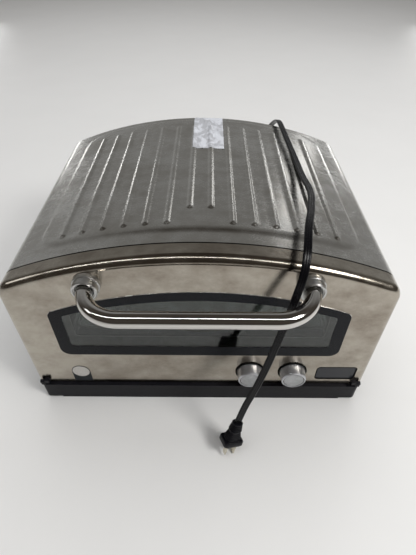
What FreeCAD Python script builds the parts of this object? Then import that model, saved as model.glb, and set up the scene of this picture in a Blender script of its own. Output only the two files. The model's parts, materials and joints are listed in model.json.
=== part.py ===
import FreeCAD, Part
import math
import os
import re
from types import SimpleNamespace

import Sketcher
from FreeCAD import Placement, Rotation, Vector

# Countertop pizza oven: domed steel cover on a black base, with the whole front cap as a
# drop-down door that carries the window, handle, display and two push-and-turn knobs.
# Millimetres. X to the right, Y to the back, Z up. The origin is on the table, under the
# middle of the oven's own box (the free cord and its plug are left out of that box).

os.makedirs("parts", exist_ok=True)
doc = FreeCAD.newDocument("pizza_oven")

SIZES = {
    # casing
    "half_width": 235.0,
    "crown_height": 270.4,
    "crown_radius": 597.0,
    "shoulder_radius": 23.6,
    "steel": 1.2,
    "face_y": -162.5,
    "back_y": 217.5,
    "cap_depth": 26.0,
    "seam": 2.0,
    "side_bottom": 34.0,
    "front_roll": 9.5,
    "back_roll": 6.0,
    # pressed top
    "field_half": 199.0,
    "field_rise": 1.5,
    "field_front": 44.0,
    "field_back": 14.0,
    "field_corner": 38.0,
    "rib_pitch": 25.8,
    "rib_radius": 4.74,
    "rib_rise": 2.2,
    "rib_front": 60.5,
    "rib_short_front": 92.0,
    "rib_back": 340.0,
    "rear_inset": 11.0,
    # base
    "base_half": 230.0,
    "base_nose": 5.0,
    "base_bottom": 3.0,
    "base_top": 32.5,
    "base_wall": 2.5,
    "base_corner": 6.0,
    "lip_half": 206.0,
    "lip_bottom": 0.8,
    "foot_radius": 11.0,
    "foot_height": 3.0,
    "bumper_reach": 7.5,
    "bumper_radius": 9.0,
    "screw_radius": 3.2,
    # oven cavity
    "cavity_half": 180.0,
    "cavity_bottom": 92.0,
    "cavity_drop": 25.0,
    "cavity_depth": 322.0,
    "liner": 1.0,
    "blanket": 9.0,
    "element_radius": 3.5,
    "element_half": 125.0,
    "element_upper": 214.0,
    "element_lower": 102.0,
    "element_bend": 20.0,
    "stone_radius": 155.0,
    "stone_thick": 10.0,
    "stone_bottom": 113.0,
    "wire_radius": 1.6,
    "probe_x": -60.0,
    "probe_z": 205.0,
    "probe_radius": 2.5,
    "lamp_y": 60.0,
    "lamp_z": 150.0,
    # door
    "hinge_y": -165.7,
    "hinge_z": 39.5,
    "pin_radius": 1.5,
    "pin_play": 0.05,
    "knuckle_x": 220.3,
    "knuckle_wide": 6.4,
    "pin_length": 12.8,
    "window_half": 184.0,
    "window_bottom": 100.5,
    "window_corner_z": 183.0,
    "window_top": 219.7,
    "glass_half": 168.0,
    "glass_bottom": 118.5,
    "glass_corner_z": 177.0,
    "glass_top": 206.0,
    "pane": 3.5,
    # handle
    "bar_radius": 9.25,
    "bar_wall": 1.2,
    "bar_out": 53.25,
    "bar_z": 232.5,
    "bar_bend": 44.0,
    "boss_x": 125.5,
    "boss_radius": 15.8,
    "boss_depth": 6.0,
    "collar_radius": 14.6,
    "collar_reach": 14.5,
    # controls
    "knob_left_x": 69.5,
    "knob_right_x": 129.0,
    "knob_z": 63.5,
    "knob_radius": 17.8,
    "knob_front_radius": 16.8,
    "knob_reach": 16.0,
    "knob_hole": 19.3,
    "cap_radius": 13.4,
    "shaft_radius": 3.0,
    "display_x": 191.0,
    "display_z": 59.2,
    "display_wide": 56.5,
    "display_tall": 29.6,
    "display_corner": 6.5,
    "lens_gap": 1.2,
    "badge_x": -168.0,
    "badge_z": 60.3,
    "badge_radius": 11.8,
    # cord
    "cord_radius": 4.6,
    "gland_x": 60.0,
    "gland_z": 60.0,
    "plug_turn": 21.0,
    "blade_length": 16.0,
    "plug_length": 51.3,
    "flange_wide": 28.0,
    "flange_deep": 21.0,
    "flange_thick": 8.0,
}
RIBS = 14
VENTS = 7

sheet = doc.addObject("Spreadsheet::Sheet", "sizes")
for row, (alias, size) in enumerate(SIZES.items(), start=1):
    sheet.set(f"A{row}", alias)
    sheet.set(f"B{row}", str(size))
    sheet.setAlias(f"B{row}", alias)
doc.recompute()
S = SimpleNamespace(**{alias: float(sheet.get(alias)) for alias in SIZES})

NODES = {}


# ---------------------------------------------------------------- document helpers
def keep(name, obj):
    """Give an object the label that names its file, and list it as a sub-part."""
    obj.Label = name
    NODES[name] = obj
    return obj


def bind(obj, prop, rule):
    """Bind a property to a rule written with the sheet's aliases."""
    text = re.sub(r"[a-z][a-z_]+", lambda m: f"sizes.{m[0]}" if m[0] in SIZES else m[0], str(rule))
    obj.setExpression(prop, text)


def place(obj, at):
    for axis, rule in zip("xyz", at):
        bind(obj, f"Placement.Base.{axis}", rule)
    return obj


def block(name, size, at):
    """A box with its low corner at 'at'."""
    box = doc.addObject("Part::Box", name)
    for prop, rule in zip(("Length", "Width", "Height"), size):
        bind(box, prop, rule)
    return place(box, at)


TURNS = {
    "x": Rotation(Vector(0, 1, 0), 90),
    "y": Rotation(Vector(1, 0, 0), -90),
    "z": Rotation(),
}


def rod(name, radius, length, at, axis="z"):
    """A round bar that starts at 'at' and runs along +axis."""
    bar = doc.addObject("Part::Cylinder", name)
    bind(bar, "Radius", radius)
    bind(bar, "Height", length)
    bar.Placement = Placement(Vector(), TURNS[axis])
    return place(bar, at)


def group(name, pieces):
    """Separate solids that share one node."""
    parts = doc.addObject("Part::Compound", name)
    parts.Links = pieces
    return parts


def feature(name, shape):
    made = doc.addObject("Part::Feature", name)
    made.Shape = shape
    return made


def new_sketch(body, name, plane):
    sketch = body.newObject("Sketcher::SketchObject", name)
    origin = [f for f in body.Origin.OriginFeatures if f.Role == plane][0]
    sketch.AttachmentSupport = [(origin, "")]
    sketch.MapMode = "FlatFace"
    return sketch


def rectangle(sketch, wide, tall, left, low):
    """A rectangle whose size and place are bound to the sheet."""
    first = sketch.GeometryCount
    corners = [Vector(0, 0), Vector(10, 0), Vector(10, 10), Vector(0, 10)]
    for k in range(4):
        sketch.addGeometry(Part.LineSegment(corners[k], corners[(k + 1) % 4]), False)
    for k in range(4):
        sketch.addConstraint(Sketcher.Constraint("Coincident", first + k, 2, first + (k + 1) % 4, 1))
    for k in (0, 2):
        sketch.addConstraint(Sketcher.Constraint("Horizontal", first + k))
        sketch.addConstraint(Sketcher.Constraint("Vertical", first + k + 1))
    rules = (
        ("DistanceX", (first, 1, first, 2), wide),
        ("DistanceY", (first + 1, 1, first + 1, 2), tall),
        ("DistanceX", (-1, 1, first, 1), left),
        ("DistanceY", (-1, 1, first, 1), low),
    )
    for kind, ends, rule in rules:
        index = sketch.addConstraint(Sketcher.Constraint(kind, *ends, 1.0))
        bind(sketch, f"Constraints[{index}]", rule)


def body_of(name):
    return doc.addObject("PartDesign::Body", name)


def pad(body, sketch, length, reverse=False):
    made = body.newObject("PartDesign::Pad", sketch.Name + "_pad")
    made.Profile = sketch
    bind(made, "Length", length)
    made.Reversed = reverse
    return made


def pocket(body, sketch, depth, reverse=False):
    made = body.newObject("PartDesign::Pocket", sketch.Name + "_pocket")
    made.Profile = sketch
    bind(made, "Length", depth)
    made.Reversed = reverse
    return made


def fillet(body, edge_names, radius):
    base = body.Tip
    made = body.newObject("PartDesign::Fillet", body.Name + "_fillet")
    made.Base = (base, edge_names)
    bind(made, "Radius", radius)
    return made


def plate(name, wide, thick, tall, at):
    """A PartDesign plate: a bound rectangle padded upward, low corner at 'at'."""
    body = body_of(name)
    sketch = new_sketch(body, name + "_outline", "XY_Plane")
    rectangle(sketch, wide, thick, "0", "0")
    pad(body, sketch, tall)
    return place(body, at)


def turned(name, profile, at):
    """A PartDesign revolution about the body's Y axis. The profile lists radius and y."""
    body = body_of(name)
    sketch = new_sketch(body, name + "_profile", "XY_Plane")
    points = [Vector(radius, y) for radius, y in profile]
    for first, second in zip(points, points[1:] + points[:1]):
        sketch.addGeometry(Part.LineSegment(first, second), False)
    spin = body.newObject("PartDesign::Revolution", name + "_turn")
    spin.Profile = sketch
    spin.ReferenceAxis = (sketch, ["V_Axis"])
    spin.Angle = 360
    return place(body, at)


# ---------------------------------------------------------------- shape helpers
def outline_face(segments, y):
    """A face in the XZ plane from lines (2 points) and arcs (3 points)."""
    edges = []
    for segment in segments:
        points = [Vector(u, y, v) for u, v in segment]
        curve = Part.LineSegment(*points) if len(points) == 2 else Part.Arc(*points)
        edges.append(curve.toShape())
    return Part.Face(Part.Wire(edges))


def dome_outline(inset, bottom):
    """The casing's section, moved in by 'inset': flat bottom, straight sides, domed top."""
    big = S.crown_radius - inset
    small = S.shoulder_radius - inset
    half = S.half_width - inset
    middle = S.crown_height - S.crown_radius
    corner_x = S.half_width - S.shoulder_radius
    spread = math.asin(corner_x / (S.crown_radius - S.shoulder_radius))
    corner_z = middle + (S.crown_radius - S.shoulder_radius) * math.cos(spread)
    join = (big * math.sin(spread), middle + big * math.cos(spread))
    lean = (math.pi / 2 + spread) / 2
    bulge = (corner_x + small * math.sin(lean), corner_z + small * math.cos(lean))
    return [
        ((-half, bottom), (half, bottom)),
        ((half, bottom), (half, corner_z)),
        ((half, corner_z), bulge, join),
        (join, (0, middle + big), (-join[0], join[1])),
        ((-join[0], join[1]), (-bulge[0], bulge[1]), (-half, corner_z)),
        ((-half, corner_z), (-half, bottom)),
    ]


def dome(inset, bottom, front, back):
    """A solid of the casing's section between two distances behind the face."""
    face = outline_face(dome_outline(inset, bottom), S.face_y + front)
    return face.extrude(Vector(0, back - front, 0))


def arched_outline(half, bottom, corner, top):
    return [
        ((-half, bottom), (half, bottom)),
        ((half, bottom), (half, corner)),
        ((half, corner), (0, top), (-half, corner)),
        ((-half, corner), (-half, bottom)),
    ]


def vault(drop, half, bottom, front, back):
    """A solid with an arched top that follows the dome, 'drop' below it."""
    middle = S.crown_height - S.crown_radius
    radius = S.crown_radius - drop
    corner = middle + math.sqrt(radius**2 - half**2)
    face = outline_face(arched_outline(half, bottom, corner, middle + radius), S.face_y + front)
    return face.extrude(Vector(0, back - front, 0))


def corner_edges(solid, half, height):
    """The edges along Y at the two corners of an outline that lie at x = +-half."""
    found = []
    for edge in solid.Edges:
        box = edge.BoundBox
        at_corner = abs(abs(box.Center.x) - half) < 0.5 and abs(box.Center.z - height) < 0.5
        if box.YLength > 0.5 and box.ZLength < 0.01 and box.XLength < 0.01 and at_corner:
            found.append(edge)
    return found


def window(half, bottom, corner, top, front, back, low_round, high_round):
    """The window's outline as a solid, with its low and high corners rounded."""
    face = outline_face(arched_outline(half, bottom, corner, top), S.face_y + front)
    solid = face.extrude(Vector(0, back - front, 0))
    solid = solid.makeFillet(low_round, corner_edges(solid, half, bottom))
    return solid.makeFillet(high_round, corner_edges(solid, half, corner))


def edges_at(solid, y, above):
    """The edges that lie wholly in the plane y and do not lie along the bottom."""
    found = []
    for edge in solid.Edges:
        box = edge.BoundBox
        if abs(box.YMin - y) < 1e-4 and abs(box.YMax - y) < 1e-4 and box.ZMax > above:
            found.append(edge)
    return found


def cylinder_y(radius, x, y, z, length):
    return Part.makeCylinder(radius, length, Vector(x, y, z), Vector(0, 1, 0))


def capsule_y(radius, x, y, z, length):
    """A round bar along Y with ball ends, made as one turned profile."""
    low, high = Vector(x, y - radius, z), Vector(x, y + length + radius, z)
    side = math.sqrt(0.5) * radius
    curves = [
        Part.Arc(low, Vector(x + side, y - side, z), Vector(x + radius, y, z)),
        Part.LineSegment(Vector(x + radius, y, z), Vector(x + radius, y + length, z)),
        Part.Arc(
            Vector(x + radius, y + length, z), Vector(x + side, y + length + side, z), high
        ),
        Part.LineSegment(high, low),
    ]
    face = Part.Face(Part.Wire([curve.toShape() for curve in curves]))
    return face.revolve(Vector(x, y, z), Vector(0, 1, 0), 360)


def bent_path(points, radius=None):
    """Straight runs joined by tangent arcs. With no radius given, each arc is as large as
    0.45 of its shorter run allows. Returns the wire and the list of radii."""
    points = [Vector(*p) for p in points]
    edges, radii = [], []
    start = points[0]
    for before, here, after in zip(points, points[1:], points[2:]):
        back = (before - here).normalize()
        on = (after - here).normalize()
        turn = math.pi - back.getAngle(on)
        run = min((before - here).Length, (after - here).Length)
        arc_radius = radius or 0.45 * run / math.tan(turn / 2)
        reach = arc_radius * math.tan(turn / 2)
        enter = here + back * reach
        leave = here + on * reach
        inward = (back + on).normalize()
        centre = here + inward * (arc_radius / math.cos(turn / 2))
        middle = centre - inward * arc_radius
        edges.append(Part.LineSegment(start, enter).toShape())
        edges.append(Part.Arc(enter, middle, leave).toShape())
        radii.append(arc_radius)
        start = leave
    edges.append(Part.LineSegment(start, points[-1]).toShape())
    return Part.Wire(edges), radii


def tube(points, tube_radius, bend=None):
    """A round solid along a bent path."""
    path, radii = bent_path(points, bend)
    first = Vector(*points[0])
    ahead = (Vector(*points[1]) - first).normalize()
    ring = Part.Wire(Part.Circle(first, ahead, tube_radius).toShape())
    pipe = Part.BRepOffsetAPI.MakePipeShell(path)
    pipe.setTransitionMode(1)
    pipe.add(ring)
    pipe.build()
    pipe.makeSolid()
    return pipe.shape(), path, radii


def slots(count, pitch, wide, tall, x_middle, y, z, depth):
    """A row of upright slots cut through a plate that faces Y."""
    first = x_middle - pitch * (count - 1) / 2
    cuts = []
    for k in range(count):
        corner = Vector(first + k * pitch - wide / 2, y, z)
        slot = Part.makeBox(wide, depth, tall, corner)
        ends = [e for e in slot.Edges if abs(e.Vertexes[0].Y - e.Vertexes[1].Y) > 1]
        cuts.append(slot.makeFillet(wide * 0.45, ends))
    return cuts


# ---------------------------------------------------------------- base
def make_base():
    depth = "back_y - face_y + base_nose - 1"
    body = body_of("base_pan")
    outer = new_sketch(body, "base_outer", "XY_Plane")
    rectangle(outer, "2 * base_half", depth, "-base_half", "face_y - base_nose")
    pad(body, outer, "base_top - base_bottom")
    doc.recompute()
    upright = [
        f"Edge{k}"
        for k, edge in enumerate(body.Shape.Edges, start=1)
        if edge.BoundBox.ZLength > 1 and edge.BoundBox.XLength < 0.01
    ]
    fillet(body, upright, "base_corner")
    # the deep tray behind the door sill, open upward
    tray = new_sketch(body, "base_tray", "XY_Plane")
    bind(tray, "AttachmentOffset.Base.z", "base_wall")
    front = "face_y + cap_depth + seam"
    rectangle(
        tray,
        "2 * (base_half - base_wall)",
        "back_y - 1 - base_wall - (face_y + cap_depth + seam + 4)",
        "-(base_half - base_wall)",
        f"{front} + 4",
    )
    pocket(body, tray, "base_top - base_bottom", reverse=True)
    # the sill under the door is a hollow moulding, open downward
    sill = new_sketch(body, "base_sill", "XY_Plane")
    rectangle(
        sill,
        "2 * (base_half - base_wall)",
        "base_nose + cap_depth + seam - 2 * base_wall",
        "-(base_half - base_wall)",
        "face_y - base_nose + base_wall",
    )
    pocket(body, sill, "base_top - base_bottom - base_wall", reverse=True)
    lip = new_sketch(body, "base_lip", "XY_Plane")
    rectangle(lip, "2 * lip_half", "base_wall", "-lip_half", "face_y - base_nose")
    pad(body, lip, "base_bottom - lip_bottom", reverse=True)
    vents = new_sketch(body, "base_vents", "XY_Plane")
    pitch, wide, tall = 50, 26, 5
    for k in range(VENTS):
        left = pitch * (k - (VENTS - 1) / 2) - 15
        for low in (40, 60):
            rectangle(vents, wide, tall, left, low)
    pocket(body, vents, "base_wall + 1", reverse=True)
    place(body, ("0", "0", "base_bottom"))
    keep("base_pan", body)

    feet = []
    side, front, back = 190, -128, 190
    for k, (x, y) in enumerate(((-side, front), (side, front), (-side, back), (side, back))):
        feet.append(rod(f"foot_{k}", "foot_radius", "foot_height - 0.02", (x, y, "0")))
    keep("rubber_feet", group("rubber_feet", feet))


# ---------------------------------------------------------------- outer casing
def make_top_cover():
    front = S.cap_depth + S.seam
    back = S.back_y - S.face_y
    outer = dome(0, S.side_bottom, front, back)
    outer = outer.makeFillet(S.back_roll, edges_at(outer, S.back_y, S.side_bottom + 1))
    inner = dome(S.steel, S.side_bottom - 5, front - 1, back - S.steel)
    rim = edges_at(inner, S.back_y - S.steel, S.side_bottom + 1)
    inner = inner.makeFillet(S.back_roll - S.steel, rim)
    # the pressed field is a slightly larger dome, kept inside a rounded rectangle
    field_low, tall = 200, 150
    field = dome(-S.field_rise, field_low, S.field_front, back - S.field_back)
    depth = back - S.field_front - S.field_back
    corner = Vector(-S.field_half, S.face_y + S.field_front, field_low - 1)
    mask = Part.makeBox(2 * S.field_half, depth, tall, corner)
    mask = mask.makeFillet(S.field_corner, [e for e in mask.Edges if e.BoundBox.ZLength > 1])
    skin = outer.fuse(field.common(mask))
    middle = S.crown_height - S.crown_radius
    sink = S.rib_radius - S.rib_rise
    ribs = []
    for k in range(RIBS):
        x = (k - (RIBS - 1) / 2) * S.rib_pitch
        short = k in (RIBS // 2 - 1, RIBS // 2)
        start = S.face_y + (S.rib_short_front if short else S.rib_front) + S.rib_radius
        end = S.face_y + S.rib_back - S.rib_radius
        surface = S.crown_radius + S.field_rise - sink
        lean = x / S.crown_radius
        x_rib, z_rib = surface * math.sin(lean), middle + surface * math.cos(lean)
        ribs.append(capsule_y(S.rib_radius, x_rib, start, z_rib, end - start))
    skin = skin.fuse(ribs)
    opening = dome(S.rear_inset, S.side_bottom - 5, back - 3, back + 3)
    skin = skin.cut(inner).cut(opening).removeSplitter()
    keep("top_cover", feature("top_cover", skin))


def make_rear_panel():
    depth = S.back_y - S.face_y
    panel = dome(S.back_roll - 1, S.base_top + 0.3, depth - 3.4, depth - 1.4)
    pitch, wide, tall, through = 14, 4, 26, 6
    y = S.back_y - 4
    gaps = slots(11, pitch, wide, tall, 0, y, 196, through)
    gaps += slots(9, pitch, wide, tall, -130, y, 70, through)
    gaps.append(cylinder_y(8, S.gland_x, y, S.gland_z, through))
    keep("rear_panel", feature("rear_panel", panel.cut(gaps)))

    bumpers = []
    for k, x in enumerate((-150, 150)):
        at = (x, "back_y - 1.4", 150)
        bumpers.append(rod(f"bumper_{k}", "bumper_radius", "bumper_reach + 1.4", at, "y"))
    keep("rear_bumpers", group("rear_bumpers", bumpers))

    screws = []
    for k, (x, z) in enumerate(((-205, 60), (205, 60), (-205, 190), (205, 190), (0, 250), (0, 50))):
        screws.append(rod(f"cover_screw_{k}", "screw_radius", "2.2", (x, "back_y - 1.4", z), "y"))
    keep("cover_screws", group("cover_screws", screws))


def make_front_frame():
    """The plate around the oven's mouth that the door closes against."""
    start = S.cap_depth + S.seam + 0.2
    frame = dome(S.steel + 0.1, S.base_top + 0.3, start, start + 1.2)
    mouth = vault(S.cavity_drop, S.cavity_half, S.cavity_bottom, start - 1, start + 3)
    keep("front_frame", feature("front_frame", frame.cut(mouth)))


# ---------------------------------------------------------------- oven cavity
def make_cavity():
    start = S.cap_depth + S.seam + 1.4
    back = start + S.cavity_depth
    drop, half, low = S.cavity_drop, S.cavity_half, S.cavity_bottom
    wall = S.liner
    shell = vault(drop, half, low, start, back)
    room = vault(drop + wall, half - wall, low + wall, start - 1, back - wall)
    keep("cavity_liner", feature("cavity_liner", shell.cut(room)))

    gap = 0.3
    blanket = vault(drop - gap - S.blanket, half + gap + S.blanket, low, start + 8, back)
    inside = vault(drop - gap, half + gap, low - 1, start + 7, back + 1)
    keep("insulation_blanket", feature("insulation_blanket", blanket.cut(inside)))

    rear = S.face_y + back - wall
    front = S.face_y + start

    def loop(z):
        """A heating element: out of the rear wall, round the front and back again."""
        outer, inner = S.element_half, S.element_half * 0.45
        near, far = front + 40, rear - 60
        route = [(-outer, rear + 8, z), (-outer, near, z), (-inner, near, z), (-inner, far, z)]
        route += [(-x, y, z) for x, y, z in reversed(route)]
        return tube(route, S.element_radius, S.element_bend)[0]

    levels = (S.element_upper, S.element_lower)
    ends = [(x, z) for z in levels for x in (-S.element_half, S.element_half)]
    holes = [cylinder_y(S.element_radius + 0.6, x, rear - 3, z, 6) for x, z in ends]
    liner = NODES["cavity_liner"]
    liner.Shape = liner.Shape.cut(holes)
    keep("upper_heating_element", feature("upper_heating_element", loop(S.element_upper)))
    keep("lower_heating_element", feature("lower_heating_element", loop(S.element_lower)))
    flanges = []
    for k, (x, z) in enumerate(ends):
        ring = cylinder_y(9, x, rear + wall, z, 2)
        hole = cylinder_y(S.element_radius, x, rear, z, 6)
        flanges.append(feature(f"element_flange_{k}", ring.cut(hole)))
    keep("element_flanges", group("element_flanges", flanges))

    middle_y = (front + rear) / 2 - 2
    stone = rod(
        "pizza_stone", "stone_radius", "stone_thick", ("0", f"{middle_y:.2f}", "stone_bottom")
    )
    keep("pizza_stone", stone)

    # wire deck: a bent outer frame and cross wires under the stone
    r = S.wire_radius
    z = S.stone_bottom - r - 0.02
    side, first, last = half - wall - 5.6, front + 12, rear - 8
    rim = [
        (-side, (first + last) / 2, z),
        (-side, first, z),
        (side, first, z),
        (side, last, z),
        (-side, last, z),
        (-side, (first + last) / 2 + 0.5, z),
    ]
    rim_bend, cross_wires, pitch = 12, 11, 27
    wires = [feature("deck_rim", tube(rim, r, rim_bend)[0])]
    for k in range(cross_wires):
        x = (k - (cross_wires - 1) / 2) * pitch
        cross = cylinder_y(r * 0.75, x, first + r + 0.02, z, last - first - 2 * r - 0.04)
        wires.append(feature(f"deck_wire_{k}", cross))
    keep("stone_rack", group("stone_rack", wires))

    guides = []
    for k, sign in enumerate((-1, 1)):
        x = sign * (half - wall)
        low_z = z - r - 2.1
        inner = x - sign * 8
        corner = Vector(min(x, inner), front + 6, low_z)
        guides.append(feature(f"guide_{k}", Part.makeBox(8, last - front - 4, 2, corner)))
    keep("rack_guides", group("rack_guides", guides))

    tray_wide, tray_deep = 2 * (half - wall - 3), last - front - 6
    tray = Part.makeBox(tray_wide, tray_deep, 4, Vector(-tray_wide / 2, front + 6, low + wall + 0.1))
    well = Part.makeBox(
        tray_wide - 2, tray_deep - 2, 4, Vector(-tray_wide / 2 + 1, front + 7, low + wall + 0.9)
    )
    keep("crumb_tray", feature("crumb_tray", tray.cut(well)))

    x, z, thin = S.probe_x, S.probe_z, S.probe_radius
    probe = cylinder_y(thin, x, rear - 45, z, 60)
    nut = cylinder_y(6, x, rear + wall, z, 4).cut(cylinder_y(thin, x, rear, z, 8))
    keep("temperature_probe", feature("temperature_probe", probe))
    keep("probe_nut", feature("probe_nut", nut))
    liner.Shape = liner.Shape.cut(cylinder_y(thin + 0.4, x, rear - 3, z, 6))

    # the lamp looks in through the right wall
    lens_radius, socket_radius, across = 14.8, 17, Vector(1, 0, 0)
    mouth_at = Vector(half - 3, S.lamp_y, S.lamp_z)
    liner.Shape = liner.Shape.cut(Part.makeCylinder(lens_radius + 0.2, 6, mouth_at, across))
    blanket_obj = NODES["insulation_blanket"]
    tunnel_at = Vector(half - 1, S.lamp_y, S.lamp_z)
    tunnel = Part.makeCylinder(socket_radius + 3, 30, tunnel_at, across)
    blanket_obj.Shape = blanket_obj.Shape.cut(tunnel)
    lens_at = ("cavity_half - 2", "lamp_y", "lamp_z")
    keep("lamp_lens", rod("lamp_lens", lens_radius, "3", lens_at, "x"))
    socket_at = ("cavity_half + 1.3", "lamp_y", "lamp_z")
    keep("lamp_socket", rod("lamp_socket", socket_radius, "24", socket_at, "x"))

    cutout = plate("thermal_cutout", "16", "22", "9", (-90, 175, f"{low - 9.5}"))
    keep("thermal_cutout", cutout)


# ---------------------------------------------------------------- electronics in the base
def make_electronics():
    floor = "base_bottom + base_wall"
    posts = []
    corners = [(x, y) for y in (85, 165) for x in (-150, -60)]
    for k, (x, y) in enumerate(corners):
        posts.append(rod(f"post_{k}", "3", "8", (x, y, floor)))
    keep("board_posts", group("board_posts", posts))
    board = plate("power_board", "110", "100", "1.6", (-160, 75, f"{floor} + 8.02"))
    keep("power_board", board)
    top = f"{floor} + 9.64"
    relays = [
        block("relay_a", ("19", "16", "16"), (-150, 92, top)),
        block("relay_b", ("19", "16", "16"), (-125, 92, top)),
        block("transformer", ("34", "30", "26"), (-100, 130, top)),
        rod("capacitor", "8", "14", (-140, 145, top)),
    ]
    keep("board_components", group("board_components", relays))


# ---------------------------------------------------------------- hinges
def make_hinges():
    """Ears on the base hold a pin each; the door's knuckles turn on the pins."""
    ears, pins, knuckles = [], [], []
    ear_thick, ear_round, knuckle_deep = 5.5, 2.9, 5.4
    along = Vector(1, 0, 0)
    for k, sign in enumerate((-1, 1)):
        outer = sign * (S.base_half - 0.5)
        x = min(outer, outer - sign * ear_thick)
        ear = Part.makeBox(
            ear_thick,
            S.hinge_y + ear_round - (S.face_y - S.base_nose),
            S.hinge_z - S.base_top,
            Vector(x, S.face_y - S.base_nose, S.base_top),
        )
        centre = Vector(x, S.hinge_y, S.hinge_z)
        ear = ear.fuse(Part.makeCylinder(ear_round, ear_thick, centre, along))
        bore = Part.makeCylinder(S.pin_radius, 40, centre - along * 10, along)
        ears.append(feature(f"ear_{k}", ear.cut(bore)))
        pin_x = min(outer, outer - sign * S.pin_length)
        centre = Vector(pin_x, S.hinge_y, S.hinge_z)
        pins.append(
            feature(f"pin_{k}", Part.makeCylinder(S.pin_radius, S.pin_length, centre, along))
        )
        left = sign * S.knuckle_x - S.knuckle_wide / 2
        corner = Vector(left, S.face_y - knuckle_deep, S.hinge_z - 2.6)
        knuckle = Part.makeBox(S.knuckle_wide, knuckle_deep, 6.4, corner)
        centre = Vector(left - 10, S.hinge_y, S.hinge_z)
        loose = Part.makeCylinder(S.pin_radius + S.pin_play, 40, centre, along)
        knuckles.append(feature(f"knuckle_{k}", knuckle.cut(loose)))
    keep("hinge_ears", group("hinge_ears", ears))
    keep("hinge_pins", group("hinge_pins", pins))
    keep("hinge_knuckles", group("hinge_knuckles", knuckles))


# ---------------------------------------------------------------- door
def pierced(solid):
    """Cut the door's skin for the window, the controls and the handle screws."""
    y = S.face_y - 3
    tools = [
        window(
            S.window_half + 0.2,
            S.window_bottom - 0.2,
            S.window_corner_z + 0.2,
            S.window_top + 0.2,
            -3,
            8,
            13.2,
            10.2,
        )
    ]
    for x in (S.knob_left_x, S.knob_right_x):
        tools.append(cylinder_y(S.knob_hole, x, y, S.knob_z, 12))
    for sign in (-1, 1):
        tools.append(cylinder_y(2.7, sign * S.boss_x, y, S.bar_z, 12))
    hole = Part.makeBox(
        S.display_wide,
        12,
        S.display_tall,
        Vector(S.display_x - S.display_wide / 2, y, S.display_z - S.display_tall / 2),
    )
    along = [e for e in hole.Edges if e.BoundBox.YLength > 1]
    tools.append(hole.makeFillet(S.display_corner, along))
    return solid.cut(tools)


def make_door():
    low = S.base_top + 0.8
    outer = dome(0, low, 0, S.cap_depth)
    outer = outer.makeFillet(S.front_roll, edges_at(outer, S.face_y, low + 1))
    inner = dome(1, low + 1, 1, S.cap_depth + 1)
    inner = inner.makeFillet(S.front_roll - 1, edges_at(inner, S.face_y + 1, low + 2))
    keep("door_skin", feature("door_skin", pierced(outer.cut(inner))))

    ring = window(
        S.window_half, S.window_bottom, S.window_corner_z, S.window_top, -0.8, 1.1, 13, 10
    )
    flange = window(
        S.window_half + 5,
        S.window_bottom - 4,
        S.window_corner_z + 3,
        S.window_top + 4,
        1.1,
        3,
        15,
        12,
    )
    light = window(
        S.glass_half, S.glass_bottom, S.glass_corner_z, S.glass_top, -3, 6, 5, 5
    )
    keep("window_bezel", feature("window_bezel", ring.fuse(flange).cut(light)))
    clear = 0.1
    glass = window(
        S.glass_half - clear,
        S.glass_bottom + clear,
        S.glass_corner_z - clear,
        S.glass_top - clear,
        -0.4,
        S.pane - 0.4,
        4.9,
        4.9,
    )
    keep("outer_glass", feature("outer_glass", glass))

    panel = dome(3, 40, 22, 23)
    view = window(
        S.glass_half - 2, S.glass_bottom + 1, S.glass_corner_z - 2, S.glass_top - 2, 10, 30, 5, 5
    )
    keep("door_inner_panel", feature("door_inner_panel", panel.cut(view)))
    pane = window(
        S.glass_half + 4,
        S.glass_bottom - 5,
        S.glass_corner_z + 4,
        S.glass_top + 4,
        18.4,
        21.9,
        6,
        6,
    )
    keep("inner_glass", feature("inner_glass", pane))
    rim = window(
        S.glass_half + 7,
        S.glass_bottom - 8,
        S.glass_corner_z + 7,
        S.glass_top + 7,
        16.8,
        18.3,
        7,
        7,
    )
    keep("inner_glass_frame", feature("inner_glass_frame", rim.cut(view)))
    seal = vault(14, 192, 82, 23.1, 27.8).cut(vault(20, 186, 88, 22, 30))
    keep("door_seal", feature("door_seal", seal))

    badge = rod("badge_disc", "badge_radius", "0.4", ("badge_x", "face_y - 0.42", "badge_z"), "y")
    keep("badge_disc", badge)


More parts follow.
